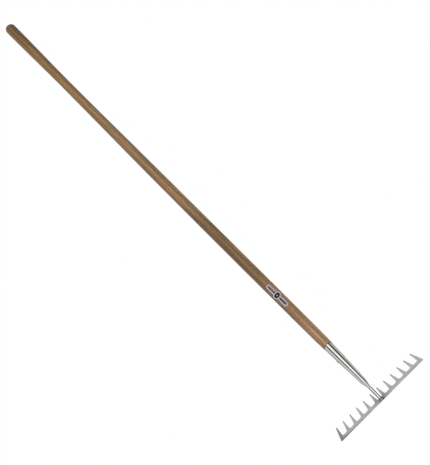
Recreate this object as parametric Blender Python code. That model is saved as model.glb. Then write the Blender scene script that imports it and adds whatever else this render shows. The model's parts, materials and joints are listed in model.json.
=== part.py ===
"""Garden rake: a turned ash handle in a rolled open steel socket, a round neck and a twelve-tine steel head.

Metres, +Z up. Each piece is modelled along the tool's own axis: x runs from the head plate's inner face towards
the grip, y runs along the head, and the tines point towards -z. The tool is then laid down as it rests on flat
ground, on its tine tips and its grip end.
"""

import math

import bmesh
import bpy
from mathutils import Vector

# Head plate, cut from flat sheet
PLATE_THICKNESS = 0.0040
TINE_COUNT = 12
TINE_PITCH = 0.0291
TINE_LENGTH = 0.0660
TINE_ROOT_WIDTH = 0.0117
TINE_TIP_WIDTH = 0.0034
BAR_DEPTH = 0.0140
BAR_OVERHANG = 0.0066
VALLEY_RADIUS = 0.0058
TIP_RADIUS = 0.0009
BAR_CORNER_RADIUS = 0.0010
PLATE_EDGE_BEVEL = 0.0004
SQUARE_EDGE_ANGLE = math.radians(60)

# Neck, the round bar between the head plate and the socket
NECK_DIAMETER = 0.0094
NECK_EXPOSED = 0.0465
NECK_INSERTION = 0.0200
NECK_END_CHAMFER = 0.0010

# Weld between the neck and the head plate
HEAD_WELD_LEG = 0.0016
HEAD_WELD_HEIGHT = 0.0034
HEAD_WELD_SPREAD = 1.25

# Weld that closes the socket's narrow end on the neck, ground to a smooth shoulder
SHOULDER_LENGTH = 0.0265
SHOULDER_FULLNESS = 0.95
SHOULDER_FEATHER = 0.0003
SHOULDER_ROOT = 0.0040

# Socket, a sheet blank rolled into an open cone whose sides belly out very slightly
SOCKET_LENGTH = 0.1494
SOCKET_NARROW_DIAMETER = 0.0196
SOCKET_MOUTH_DIAMETER = 0.0311
SOCKET_BELLY = 0.0006
SOCKET_WALL = 0.0020
MOUTH_SLANT = 0.0340
SEAM_GAP_AT_MOUTH = 0.0070
SEAM_GAP_AT_NECK = 0.0020
BLANK_CORNER_RADIUS = 0.0050

# Rivet across the socket
RIVET_DIAMETER = 0.0050
RIVET_HEAD_DIAMETER = 0.0095
RIVET_HEAD_HEIGHT = 0.0010
RIVET_TAIL_HEIGHT = 0.0003
RIVET_FROM_MOUTH = 0.0612

# Handle, turned from one length of ash: each stretch has its own length, from the mouth to the grip's end
SHOULDER_STRETCH = 0.0246
BODY_STRETCH = 0.3530
SWELL_STRETCH = 0.2960
GRIP_TAPER_STRETCH = 0.4440
GRIP_STRETCH = 0.2370
KNOB_STRETCH = 0.0190
HANDLE_SHOULDER_DIAMETER = 0.0331
HANDLE_SWELL_DIAMETER = 0.0340
HANDLE_BODY_DIAMETER = 0.0331
HANDLE_WAIST_DIAMETER = 0.0282
HANDLE_KNOB_DIAMETER = 0.0328
KNOB_DOME_LENGTH = 0.0130
WOOD_PROUD = 0.0001
TENON_END_GAP = 0.0300

# Label wrapped on the handle
LABEL_LENGTH = 0.0825
LABEL_ARM_WIDTH = 0.0136
LABEL_ARM_CORNER = 0.0050
LABEL_OVAL_LENGTH = 0.0195
LABEL_OVAL_WIDTH = 0.0255
LABEL_THICKNESS = 0.0004
LABEL_FROM_MOUTH = 0.2008

# Clearance between pieces that touch, and how finely the curves are faceted
FIT = 0.0003
ROUND_STEPS = 32
SOCKET_COLUMNS = 56
SOCKET_ROWS = 6
CONE_STEPS = 4
POCKET_STEPS = 80
CORNER_STEPS = 5
STRETCH_STEPS = 9
DOME_STEPS = 6
LABEL_COLUMNS = 42
LABEL_ROWS = 8
MERGE_DISTANCE = 1e-6
SHARP_ANGLE = math.radians(35)

# Places along the tool, worked out from the sizes above
NECK_RADIUS = NECK_DIAMETER / 2
SOCKET_START = NECK_EXPOSED + SHOULDER_LENGTH
SOCKET_MOUTH = SOCKET_START + SOCKET_LENGTH
RIVET_X = SOCKET_MOUTH - RIVET_FROM_MOUTH
TENON_END = SOCKET_START + TENON_END_GAP
LABEL_X = SOCKET_MOUTH + LABEL_FROM_MOUTH
TIP_DEPTH = BAR_DEPTH / 2 + TINE_LENGTH
CONE_SLOPE = (SOCKET_MOUTH_DIAMETER - SOCKET_NARROW_DIAMETER) / 2 / SOCKET_LENGTH
MOUTH_SLOPE = CONE_SLOPE - 4 * SOCKET_BELLY / SOCKET_LENGTH


def socket_radius(x):
    """Outer radius of the socket at x: a cone, and a belly that is fullest half way."""
    share = (x - SOCKET_START) / SOCKET_LENGTH
    cone = SOCKET_NARROW_DIAMETER / 2 + CONE_SLOPE * (x - SOCKET_START)
    return cone + 4 * SOCKET_BELLY * share * (1 - share)


def tenon_radius(x):
    """Radius of the handle's tenon, which fills the cone with the fit's clearance."""
    return socket_radius(x) - SOCKET_WALL - FIT


def mouth_edge(angle):
    """Place of the socket's mouth at an angle round the tool: a tongue on top that falls back underneath."""
    return SOCKET_MOUTH - MOUTH_SLANT / 2 * (1 - math.cos(angle))


def handle_stations():
    """(x, radius) where the handle's outline turns, from the socket's mouth to the widest part of the knob."""
    lengths = [SHOULDER_STRETCH, BODY_STRETCH, SWELL_STRETCH, GRIP_TAPER_STRETCH, GRIP_STRETCH]
    diameters = [
        HANDLE_SHOULDER_DIAMETER,
        HANDLE_SWELL_DIAMETER,
        HANDLE_BODY_DIAMETER,
        HANDLE_WAIST_DIAMETER,
        HANDLE_KNOB_DIAMETER,
    ]
    stations = [(SOCKET_MOUTH, socket_radius(SOCKET_MOUTH) + WOOD_PROUD)]
    for length, diameter in zip(lengths, diameters):
        stations.append((stations[-1][0] + length, diameter / 2))
    return stations


def station_slopes(stations):
    """A slope at each station, level where the outline turns back, so the curve never overshoots."""
    chords = [(r1 - r0) / (x1 - x0) for (x0, r0), (x1, r1) in zip(stations, stations[1:])]
    slopes = [MOUTH_SLOPE]
    for before, after in zip(chords, chords[1:]):
        turns_back = before * after <= 0
        slopes.append(0.0 if turns_back else 2 * before * after / (before + after))
    slopes.append(0.0)
    return slopes


def hermite(start, end, slope_start, slope_end, t):
    """Height of the cubic between two stations, t going from 0 to 1."""
    (x0, r0), (x1, r1) = start, end
    span = x1 - x0
    lift = r0 * (2 * t**3 - 3 * t**2 + 1) + r1 * (3 * t**2 - 2 * t**3)
    return lift + span * (slope_start * (t**3 - 2 * t**2 + t) + slope_end * (t**3 - t**2))


def handle_radius(x):
    """Outer radius of the handle at x, between the mouth and the knob."""
    stations = handle_stations()
    slopes = station_slopes(stations)
    for index, (start, end) in enumerate(zip(stations, stations[1:])):
        if x <= end[0]:
            t = (x - start[0]) / (end[0] - start[0])
            return hermite(start, end, slopes[index], slopes[index + 1], t)
    return stations[-1][1]


def handle_outline():
    """(x, radius) points of the handle before its tenon is cut, from the tenon's end to the grip's end."""
    stations = handle_stations()
    outline = [(TENON_END, 0.0)]
    for step in range(CONE_STEPS):
        x = TENON_END + (SOCKET_MOUTH - TENON_END) * step / CONE_STEPS
        outline.append((x, socket_radius(x) + WOOD_PROUD))
    for start, end in zip(stations, stations[1:]):
        for step in range(STRETCH_STEPS):
            x = start[0] + (end[0] - start[0]) * step / STRETCH_STEPS
            outline.append((x, handle_radius(x)))
    knob_x, knob_radius = stations[-1]
    dome_start = knob_x + KNOB_STRETCH - KNOB_DOME_LENGTH
    outline.append((knob_x, knob_radius))
    for step in range(DOME_STEPS + 1):
        turn = math.pi / 2 * step / DOME_STEPS
        outline.append((dome_start + KNOB_DOME_LENGTH * math.sin(turn), knob_radius * math.cos(turn)))
    outline[-1] = (outline[-1][0], 0.0)
    return outline


def finish(name, colour, roughness, metallic):
    """A Principled material with the piece's colour and polish."""
    material = bpy.data.materials.new(name)
    material.use_nodes = True
    shader = material.node_tree.nodes["Principled BSDF"]
    shader.inputs["Base Color"].default_value = (*colour, 1.0)
    shader.inputs["Roughness"].default_value = roughness
    shader.inputs["Metallic"].default_value = metallic
    material.diffuse_color = (*colour, 1.0)
    return material


def add_piece(name, bm, material):
    """Makes a named object of the mesh, shaded smooth but for its sharp edges, and hangs it on the tool."""
    mesh = bpy.data.meshes.new(name)
    bm.to_mesh(mesh)
    bm.free()
    mesh.shade_smooth()
    mesh.set_sharp_from_angle(angle=SHARP_ANGLE)
    mesh.materials.append(material)
    piece = bpy.data.objects.new(name, mesh)
    bpy.context.scene.collection.objects.link(piece)
    piece.parent = bpy.data.objects["tool"]
    return piece


def add_cutter(name, bm):
    """A shape that only cuts others: drawn as wire and left out of the render."""
    mesh = bpy.data.meshes.new(name)
    bm.to_mesh(mesh)
    bm.free()
    cutter = bpy.data.objects.new(name, mesh)
    bpy.context.scene.collection.objects.link(cutter)
    cutter.parent = bpy.data.objects["tool"]
    cutter.hide_render = True
    cutter.display_type = "WIRE"
    return cutter


def cut(piece, cutter):
    """Takes the cutter's shape out of the piece."""
    boolean = piece.modifiers.new(cutter.name, "BOOLEAN")
    boolean.operation = "DIFFERENCE"
    boolean.solver = "EXACT"
    boolean.object = cutter


def turned(outline, ring=False):
    """Spins (x, radius) points round the tool's axis; a ring's outline closes on itself."""
    bm = bmesh.new()
    points = [bm.verts.new((x, 0.0, radius)) for x, radius in outline]
    pairs = list(zip(points, points[1:]))
    if ring:
        pairs.append((points[-1], points[0]))
    edges = [bm.edges.new(pair) for pair in pairs]
    bmesh.ops.spin(
        bm, geom=points + edges, axis=(1, 0, 0), angle=math.tau, steps=ROUND_STEPS, use_merge=True
    )
    bmesh.ops.remove_doubles(bm, verts=bm.verts, dist=MERGE_DISTANCE)
    bmesh.ops.recalc_face_normals(bm, faces=bm.faces)
    return bm


def rounded_corner(before, corner, after, radius):
    """Points of the arc that rounds one corner, kept within the shorter of its two sides."""
    to_before = before - corner
    to_after = after - corner
    half_angle = to_before.angle(to_after) / 2
    room = min(to_before.length, to_after.length) / 2
    reach = min(radius / math.tan(half_angle), room)
    radius = reach * math.tan(half_angle)
    towards = (to_before.normalized() + to_after.normalized()).normalized()
    centre = corner + towards * radius / math.sin(half_angle)
    start = corner + to_before.normalized() * reach - centre
    end = corner + to_after.normalized() * reach - centre
    sweep = start.angle(end)
    points = []
    for step in range(CORNER_STEPS + 1):
        turn = sweep * step / CORNER_STEPS
        blend = start * math.sin(sweep - turn) + end * math.sin(turn)
        points.append(centre + blend / math.sin(sweep))
    return points


def tine_corners(centre):
    """The four corners of one tine, as (y, z, radius): root, tip, tip, root."""
    root = -BAR_DEPTH / 2
    return [
        (centre - TINE_ROOT_WIDTH / 2, root, VALLEY_RADIUS),
        (centre - TINE_TIP_WIDTH / 2, -TIP_DEPTH, TIP_RADIUS),
        (centre + TINE_TIP_WIDTH / 2, -TIP_DEPTH, TIP_RADIUS),
        (centre + TINE_ROOT_WIDTH / 2, root, VALLEY_RADIUS),
    ]


def tine_centres():
    """Places of the tines along the head, the middle of the head being 0."""
    return [(index - (TINE_COUNT - 1) / 2) * TINE_PITCH for index in range(TINE_COUNT)]


def head_outline():
    """Outline of the toothed plate, anticlockwise from its first top corner."""
    centres = tine_centres()
    end = centres[-1] + BAR_OVERHANG
    corners = [(-end, BAR_DEPTH / 2, BAR_CORNER_RADIUS)]
    for centre in centres:
        corners += tine_corners(centre)
    corners.append((end, BAR_DEPTH / 2, BAR_CORNER_RADIUS))
    first_root, last_root = 1, len(corners) - 2
    del corners[last_root]
    del corners[first_root]
    places = [Vector((y, z)) for y, z, _ in corners]
    outline = []
    for index, (_, _, radius) in enumerate(corners):
        following = places[(index + 1) % len(places)]
        outline += rounded_corner(places[index - 1], places[index], following, radius)
    return outline


def make_rake_head(steel):
    """The toothed plate: its outline is extruded through the sheet, and its cut edges are eased."""
    bm = bmesh.new()
    face = bm.faces.new([bm.verts.new((0.0, point.x, point.y)) for point in head_outline()])
    extruded = bmesh.ops.extrude_face_region(bm, geom=[face])
    moved = [item for item in extruded["geom"] if isinstance(item, bmesh.types.BMVert)]
    bmesh.ops.translate(bm, verts=moved, vec=(-PLATE_THICKNESS, 0, 0))
    bmesh.ops.recalc_face_normals(bm, faces=bm.faces)
    head = add_piece("rake_head", bm, steel)
    bevel = head.modifiers.new("eased_edges", "BEVEL")
    bevel.width = PLATE_EDGE_BEVEL
    bevel.segments = 2
    bevel.limit_method = "ANGLE"
    bevel.angle_limit = SQUARE_EDGE_ANGLE


def make_neck(steel):
    """The round bar, square on the plate and chamfered where it enters the socket."""
    end = SOCKET_START + NECK_INSERTION
    outline = [
        (FIT, 0.0),
        (FIT, NECK_RADIUS),
        (end - NECK_END_CHAMFER, NECK_RADIUS),
        (end, NECK_RADIUS - NECK_END_CHAMFER),
        (end, 0.0),
    ]
    add_piece("neck", turned(outline), steel)


def make_head_weld(steel):
    """A rounded bead round the neck at the plate, drawn out along the bar."""
    bore = NECK_RADIUS + FIT
    outline = [(FIT, bore)]
    for step in range(DOME_STEPS + 1):
        turn = math.pi / 2 * step / DOME_STEPS
        outline.append((FIT + HEAD_WELD_HEIGHT * math.sin(turn), bore + HEAD_WELD_LEG * math.cos(turn)))
    outline[-1] = (FIT + HEAD_WELD_HEIGHT, bore)
    bm = turned(outline, ring=True)
    for vert in bm.verts:
        outward = (math.hypot(vert.co.y, vert.co.z) - bore) / HEAD_WELD_LEG
        vert.co.y *= 1 + (HEAD_WELD_SPREAD - 1) * outward
    add_piece("head_weld", bm, steel)


def make_socket_weld(steel):
    """The ground weld: a root inside the socket's narrow end, and a shoulder that runs out on the neck."""
    bore = NECK_RADIUS + FIT
    rim = SOCKET_NARROW_DIAMETER / 2
    foot = bore + SHOULDER_FEATHER
    root = rim - SOCKET_WALL - FIT
    outline = [(NECK_EXPOSED, bore)]
    for step in range(STRETCH_STEPS + 1):
        t = step / STRETCH_STEPS
        rise = (1 + math.cos(math.pi * (1 - t) ** SHOULDER_FULLNESS)) / 2
        outline.append((NECK_EXPOSED + (SHOULDER_LENGTH - FIT) * t, foot + (rim - foot) * rise))
    outline += [(SOCKET_START - FIT, root), (SOCKET_START + SHOULDER_ROOT, root)]
    outline.append((SOCKET_START + SHOULDER_ROOT, bore))
    add_piece("socket_weld", turned(outline, ring=True), steel)


def blank_corner(arc_from_seam):
    """How far the blank's rounded corner falls back from the mouth's line near the seam."""
    if arc_from_seam >= BLANK_CORNER_RADIUS:
        return 0.0
    inward = BLANK_CORNER_RADIUS - arc_from_seam
    return BLANK_CORNER_RADIUS - math.sqrt(BLANK_CORNER_RADIUS**2 - inward**2)


def seam_angle(x):
    """Angle from the top of the socket to the seam's edge at x."""
    along = (x - SOCKET_START) / SOCKET_LENGTH
    gap = SEAM_GAP_AT_NECK + (SEAM_GAP_AT_MOUTH - SEAM_GAP_AT_NECK) * along
    return math.pi - math.asin(gap / 2 / socket_radius(x))


def roll_blank_point(across, along):
    """A point of the flat blank, laid round the cone: across runs -1 to 1 from seam to seam, along 0 to 1."""
    mouth_angle = across * seam_angle(mouth_edge(across * math.pi))
    arc_from_seam = (1 - abs(across)) * seam_angle(SOCKET_MOUTH) * SOCKET_MOUTH_DIAMETER / 2
    edge = mouth_edge(mouth_angle) - blank_corner(arc_from_seam)
    x = SOCKET_START + (edge - SOCKET_START) * along
    angle = across * seam_angle(x)
    return Vector((x, math.sin(angle) * socket_radius(x), math.cos(angle) * socket_radius(x)))


def make_socket(steel, drill):
    """The socket: a grid for the sheet blank is rolled round the cone, then takes its wall inwards."""
    bm = bmesh.new()
    bmesh.ops.create_grid(bm, x_segments=SOCKET_COLUMNS, y_segments=SOCKET_ROWS, size=1.0)
    for vert in bm.verts:
        across = math.sin(vert.co.x * math.pi / 2)
        vert.co = roll_blank_point(across, (vert.co.y + 1) / 2)
    bmesh.ops.recalc_face_normals(bm, faces=bm.faces)
    top_face = max(bm.faces, key=lambda face: face.calc_center_median().z)
    if top_face.normal.z < 0:
        bmesh.ops.reverse_faces(bm, faces=bm.faces)
    socket = add_piece("socket", bm, steel)
    wall = socket.modifiers.new("wall", "SOLIDIFY")
    wall.thickness = SOCKET_WALL
    wall.offset = -1.0
    wall.use_even_offset = True
    cut(socket, drill)


def lofted_ring(rings, steps):
    """Joins rings of points, each given as (x, radius) at an angle, into one closed band round the tool."""
    bm = bmesh.new()
    loops = []
    for ring in rings:
        loop = []
        for step in range(steps):
            angle = math.tau * step / steps
            x, radius = ring(angle)
            loop.append(bm.verts.new((x, math.sin(angle) * radius, math.cos(angle) * radius)))
        loops.append(loop)
    for loop, following in zip(loops, loops[1:] + loops[:1]):
        for step in range(steps):
            after = (step + 1) % steps
            bm.faces.new((loop[step], loop[after], following[after], following[step]))
    bmesh.ops.recalc_face_normals(bm, faces=bm.faces)
    return bm


def make_pocket():
    """The space round the tenon that the socket takes out of the handle, up to the mouth's slanted edge."""
    start = TENON_END - FIT
    outside = HANDLE_SHOULDER_DIAMETER

    def towards_mouth(share, radius_at):
        def ring(angle):
            x = start + (mouth_edge(angle) + FIT - start) * share
            return x, radius_at(x)
        return ring

    rings = [
        towards_mouth(0, lambda x: outside),
        towards_mouth(1, lambda x: outside),
        towards_mouth(1, lambda x: socket_radius(x) + FIT),
    ]
    rings += [towards_mouth(1 - step / CONE_STEPS, tenon_radius) for step in range(CONE_STEPS + 1)]
    return add_cutter("socket_pocket", lofted_ring(rings, POCKET_STEPS))


def make_drill():
    """The rivet's hole through both sides of the socket and the tenon."""
    reach = SOCKET_MOUTH_DIAMETER
    radius = RIVET_DIAMETER / 2 + FIT
    bm = turned([(-reach, 0.0), (-reach, radius), (reach, radius), (reach, 0.0)])
    drill = add_cutter("rivet_drill", bm)
    drill.location.x = RIVET_X
    drill.rotation_euler.z = math.pi / 2
    return drill


def make_handle(wood, pocket, drill):
    """The turned handle, with its tenon cut to the socket and drilled for the rivet."""
    handle = add_piece("handle", turned(handle_outline()), wood)
    cut(handle, pocket)
    cut(handle, drill)


def rivet_end(height):
    """Outline of one end of the rivet, from the top of its dome to the shank."""
    seat = socket_radius(RIVET_X + RIVET_HEAD_DIAMETER / 2) + FIT
    outline = []
    for step in range(DOME_STEPS + 1):
        turn = math.pi / 2 * step / DOME_STEPS
        outline.append((seat + height * math.cos(turn), RIVET_HEAD_DIAMETER / 2 * math.sin(turn)))
    outline.append((seat, RIVET_DIAMETER / 2))
    return outline


def make_rivet(steel):
    """One rivet across the socket: a domed head on the +y side, and a tail hammered nearly flat on the other."""
    tail = [(-x, radius) for x, radius in reversed(rivet_end(RIVET_TAIL_HEIGHT))]
    rivet = add_piece("socket_rivet", turned(rivet_end(RIVET_HEAD_HEIGHT) + tail), steel)
    rivet.location.x = RIVET_X
    rivet.rotation_euler.z = math.pi / 2


def label_half_width(along):
    """Half the label's width at a distance along the handle from its middle: two arms and an oval."""
    to_end = LABEL_LENGTH / 2 - abs(along)
    arm = LABEL_ARM_WIDTH / 2
    if to_end < LABEL_ARM_CORNER:
        inward = LABEL_ARM_CORNER - to_end
        arm += math.sqrt(LABEL_ARM_CORNER**2 - inward**2) - LABEL_ARM_CORNER
    share = min(abs(along) / (LABEL_OVAL_LENGTH / 2), 1.0)
    return max(arm, LABEL_OVAL_WIDTH / 2 * math.sqrt(1 - share**2))


def make_label(paper):
    """A thin plain label that follows the top of the handle."""
    bm = bmesh.new()
    bmesh.ops.create_grid(bm, x_segments=LABEL_COLUMNS, y_segments=LABEL_ROWS, size=1.0)
    for vert in bm.verts:
        along = vert.co.x * LABEL_LENGTH / 2
        radius = handle_radius(LABEL_X + along) + FIT
        angle = vert.co.y * label_half_width(along) / radius
        vert.co = (LABEL_X + along, math.sin(angle) * radius, math.cos(angle) * radius)
    label = add_piece("handle_label", bm, paper)
    wall = label.modifiers.new("paper", "SOLIDIFY")
    wall.thickness = LABEL_THICKNESS
    wall.offset = 1.0


def lay_down(tool):
    """Tilts the tool until its tine tips and its grip rest on the ground, its middle over the origin."""
    outline = handle_outline()
    tilt = math.atan(min((TIP_DEPTH - radius) / x for x, radius in outline))
    head_end = -PLATE_THICKNESS * math.cos(tilt) - TIP_DEPTH * math.sin(tilt)
    grip_end = max(x * math.cos(tilt) + radius * math.sin(tilt) for x, radius in outline)
    tool.rotation_euler.y = tilt
    tool.location = (-(head_end + grip_end) / 2, 0.0, TIP_DEPTH * math.cos(tilt))
    print(f"length {grip_end - head_end:.4f} m, tilt {math.degrees(tilt):.3f} degrees")


def main():
    for old in list(bpy.data.objects):
        bpy.data.objects.remove(old)
    tool = bpy.data.objects.new("tool", None)
    bpy.context.scene.collection.objects.link(tool)
    ash = finish("ash", (0.30, 0.175, 0.085), 0.5, 0.0)
    polished = finish("polished_steel", (0.62, 0.62, 0.61), 0.15, 1.0)
    plate = finish("plate_steel", (0.40, 0.40, 0.41), 0.4, 1.0)
    paper = finish("label_paper", (0.50, 0.47, 0.52), 0.6, 0.0)
    drill = make_drill()
    make_rake_head(plate)
    make_neck(polished)
    make_head_weld(plate)
    make_socket_weld(polished)
    make_socket(polished, drill)
    make_handle(ash, make_pocket(), drill)
    make_rivet(polished)
    make_label(paper)
    lay_down(tool)


main()
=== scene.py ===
# %% [markdown]
# A garden rake, dressed for its picture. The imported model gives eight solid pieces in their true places.
# This lesson makes a finer mesh for each, gives each its own finish, and lights them as in a small studio.
# Every piece is first shaped in the tool's own frame, where x runs along the handle, and is laid down at the
# end.

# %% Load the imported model
import json
import math

import bmesh
import bpy
from mathutils import Matrix, Vector, noise


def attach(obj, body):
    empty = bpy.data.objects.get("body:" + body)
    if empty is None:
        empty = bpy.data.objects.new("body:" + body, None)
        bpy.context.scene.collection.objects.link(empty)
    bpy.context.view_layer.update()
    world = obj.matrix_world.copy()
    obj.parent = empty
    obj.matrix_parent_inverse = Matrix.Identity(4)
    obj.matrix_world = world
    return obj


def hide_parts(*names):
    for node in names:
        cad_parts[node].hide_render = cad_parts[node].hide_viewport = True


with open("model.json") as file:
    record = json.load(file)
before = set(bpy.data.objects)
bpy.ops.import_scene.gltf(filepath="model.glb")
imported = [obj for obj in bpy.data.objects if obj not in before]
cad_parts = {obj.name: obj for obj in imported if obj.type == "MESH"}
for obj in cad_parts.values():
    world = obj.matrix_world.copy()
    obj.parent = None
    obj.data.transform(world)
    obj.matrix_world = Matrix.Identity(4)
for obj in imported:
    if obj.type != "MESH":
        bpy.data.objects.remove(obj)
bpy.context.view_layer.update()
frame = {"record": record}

# %% [markdown]
# The rake lies on its tine tips and its grip, so its axis leans a little. Its lean and place could be typed
# in again, but the record already states one flat face of the head with its outward direction. The tool's
# frame is worked out from that face, so the finer pieces can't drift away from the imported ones.

# %% The tool's own frame
PLATE_THICKNESS = 0.0040
head_back = frame["record"]["mounts"][0]
along = -Vector(head_back["axis"]).normalized()
across = Vector((0.0, 1.0, 0.0))
TOOL = Matrix((along, across, along.cross(across))).transposed().to_4x4()
TOOL.translation = Vector(head_back["pos_m"]) + along * PLATE_THICKNESS
print("the tool leans", round(math.degrees(math.asin(-along.z)), 3), "degrees towards its grip")

# %% [markdown]
# Node trees, for shapes and for finishes alike, are long to write link by link. Here each output is a wire
# that can be added, multiplied and so on as a number can, and each step adds its own node, so a formula
# still reads like a formula. The same helpers work in a shader tree and in a Geometry Nodes tree.

# %% Helpers for node trees
class Wire:
    """What comes out of a node. Arithmetic on it adds nodes, and [name] is another output of its node."""

    def __init__(self, socket):
        self.socket = socket
        self.tree = socket.id_data

    def __getitem__(self, name):
        return Wire(self.socket.node.outputs[name])

    def __add__(self, other):
        return calculate("ADD", self, other)

    def __sub__(self, other):
        return calculate("SUBTRACT", self, other)

    def __mul__(self, other):
        return calculate("MULTIPLY", self, other)

    def __truediv__(self, other):
        return calculate("DIVIDE", self, other)

    def __abs__(self):
        return calculate("ABSOLUTE", self)


def feed(node, inputs):
    """Feeds a node's inputs with values or wires."""
    for key, value in inputs.items():
        if isinstance(value, Wire):
            node.id_data.links.new(value.socket, node.inputs[key])
        else:
            node.inputs[key].default_value = value


def add_node(tree, kind, inputs=None, **settings):
    """Adds a node, sets its properties, feeds its inputs, and returns its first output."""
    made = tree.nodes.new(kind)
    for name, value in settings.items():
        setattr(made, name, value)
    feed(made, inputs or {})
    return Wire(made.outputs[0]) if made.outputs else None


def tree_of(values):
    """The tree of the first wire among the values."""
    return next(value.tree for value in values if isinstance(value, Wire))


def calculate(operation, *values, kind="ShaderNodeMath"):
    """What a Math node makes of numbers and wires."""
    return add_node(tree_of(values), kind, dict(enumerate(values)), operation=operation)


def vector_math(operation, *vectors):
    """What a Vector Math node makes of vectors: a number for a length or a distance, otherwise a vector."""
    made = calculate(operation, *vectors, kind="ShaderNodeVectorMath")
    return made["Value"] if operation in ("LENGTH", "DISTANCE") else made


def split(vector):
    """The x, y and z of a vector."""
    parts = add_node(vector.tree, "ShaderNodeSeparateXYZ", {0: vector})
    return [parts[axis] for axis in "XYZ"]


# %% [markdown]
# A finish often fades from one value to another, as along the handle or away from a weld. Map Range does
# that smoothly, with its ends held. Colours are blended with the Mix node, whose colour inputs are numbered
# 6 and 7. Every finish ends alike: a colour, a roughness and a bump go to the Principled shader.

# %% Helpers for finishes
def fade(value, start, end, low=0.0, high=1.0):
    """Goes smoothly from low to high while value goes from start to end, and stays there outside them."""
    inputs = {"Value": value, "From Min": start, "From Max": end, "To Min": low, "To Max": high}
    return add_node(value.tree, "ShaderNodeMapRange", inputs, interpolation_type="SMOOTHSTEP")


def rim(edge, softness):
    """The two ends of a soft edge."""
    return edge - softness, edge + softness


def between(value, rise, fall):
    """1 between two soft edges and 0 outside them. Each edge is given by its two ends."""
    return fade(value, *rise) * fade(value, *fall, 1.0, 0.0)


def blend(share, first, second, how="MIX"):
    """Blends two colours, given as wires, as three numbers, or as one number for a grey."""
    inputs = {0: share}
    for index, colour in ((6, first), (7, second)):
        if isinstance(colour, float):
            colour = (colour, colour, colour)
        inputs[index] = colour if isinstance(colour, Wire) else (*colour, 1.0)
    tree = tree_of(inputs.values())
    return add_node(tree, "ShaderNodeMix", inputs, data_type="RGBA", blend_type=how)[2]


def shades(noise, dark, light, start=0.3, end=0.7):
    """A colour between two that follows a noise, which seldom leaves the middle of its range."""
    return blend(fade(noise, start, end), dark, light)


def tool_place(tree):
    """The surface point in the tool's frame: object coordinates, turned back by the tool's lean."""
    place = add_node(tree, "ShaderNodeTexCoord")["Object"]
    inputs = {"Vector": place, "Location": TOOL.translation, "Rotation": TOOL.to_euler()}
    return add_node(tree, "ShaderNodeMapping", inputs, vector_type="TEXTURE")


def cloudy(place, scale, detail=3.0, roughness=0.55, output=0):
    """Fractal noise on a point whose directions are scaled one by one: one number from 0 to 1, or a colour.
    """
    stretched = add_node(place.tree, "ShaderNodeMapping", {"Vector": place, "Scale": scale})
    inputs = {"Vector": stretched, "Scale": 1.0, "Detail": detail, "Roughness": roughness}
    return add_node(place.tree, "ShaderNodeTexNoise", inputs)[output]


def new_finish(name):
    """A material, and the surface point in the tool's frame, which its patterns follow."""
    material = bpy.data.materials.new(name)
    material.use_nodes = True
    return material, tool_place(material.node_tree)


def finish_surface(material, colour, roughness, height, depth, metallic=0.0, specular=0.5):
    """Feeds the shader, and raises the surface by height times depth, in metres."""
    bump = {"Height": height, "Distance": depth, "Strength": 1.0}
    inputs = {
        "Base Color": colour,
        "Metallic": metallic,
        "Roughness": roughness,
        "Specular IOR Level": specular,
        "Normal": add_node(material.node_tree, "ShaderNodeBump", bump),
    }
    feed(material.node_tree.nodes["Principled BSDF"], inputs)
    print("the finish", material.name, "takes", len(material.node_tree.nodes), "nodes")
    return material


# %% [markdown]
# Round pieces are rings of points joined side by side. A ring need not be flat: the socket's mouth is cut on
# a slant, so the ring there runs along the slant. One helper skins any list of rings, and closes the ends
# with a fan. Faces are then turned outwards, because a list of rings can be given in either direction.

# %% Helpers for meshes
def piece_of(name, bm):
    """An object of the mesh, in the scene."""
    mesh = bpy.data.meshes.new(name)
    bm.to_mesh(mesh)
    bm.free()
    piece = bpy.data.objects.new(name, mesh)
    bpy.context.scene.collection.objects.link(piece)
    return piece


def shares(count, first=1):
    """Evenly spaced shares that end at 1. They start at 1 / count, or at 0 when first is 0."""
    return [step / count for step in range(first, count + 1)]


def round_point(x, radius, angle):
    """The point at x, a radius away from the tool's axis and an angle round from the top."""
    return Vector((x, math.sin(angle) * radius, math.cos(angle) * radius))


def skin_rings(name, rings, steps, closed_tube=False):
    """Skins rings of (x, radius), each a function of the angle from the top, into one closed surface."""
    bm = bmesh.new()
    angles = [math.tau * step / steps for step in range(steps)]
    loops = [[bm.verts.new(round_point(*ring(angle), angle)) for angle in angles] for ring in rings]
    following = loops[1:] + loops[:1] if closed_tube else loops[1:]
    for loop, after in zip(loops, following):
        for step in range(steps):
            turn = (step + 1) % steps
            bm.faces.new((loop[step], loop[turn], after[turn], after[step]))
    if not closed_tube:
        for loop in (loops[0], loops[-1]):
            centre = bm.verts.new(sum((vert.co for vert in loop), Vector()) / steps)
            for step in range(steps):
                bm.faces.new((loop[step], loop[(step + 1) % steps], centre))
    bmesh.ops.recalc_face_normals(bm, faces=bm.faces)
    return piece_of(name, bm)


def flat_ring(x, radius):
    """A plain round ring square to the tool's axis."""
    return lambda angle: (x, radius)


def turned(name, outline, steps, closed_tube=False):
    """A turned piece, from the (x, radius) points of its outline."""
    return skin_rings(name, [flat_ring(*point) for point in outline], steps, closed_tube)


# %% [markdown]
# Modifiers and Geometry Nodes leave a piece half made until the picture is taken. Each is turned into a
# plain mesh at once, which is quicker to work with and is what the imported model's own pieces are. Then the
# piece is laid down with the tool, takes its finish, and rides on the rake's one body in place of its packed
# solid.

# %% Helpers that finish a piece
SHARP_EDGE = math.radians(38)
BEVEL_SEGMENTS = 3


def add_modifier(piece, kind, **settings):
    """Adds a modifier and sets its properties."""
    modifier = piece.modifiers.new(kind.lower(), kind)
    for name, value in settings.items():
        setattr(modifier, name, value)
    return modifier


def ease_edges(piece, width, least_angle):
    """Rounds the edges that are sharper than an angle in degrees."""
    limit = {"limit_method": "ANGLE", "angle_limit": math.radians(least_angle)}
    add_modifier(piece, "BEVEL", width=width, segments=BEVEL_SEGMENTS, **limit)


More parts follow.
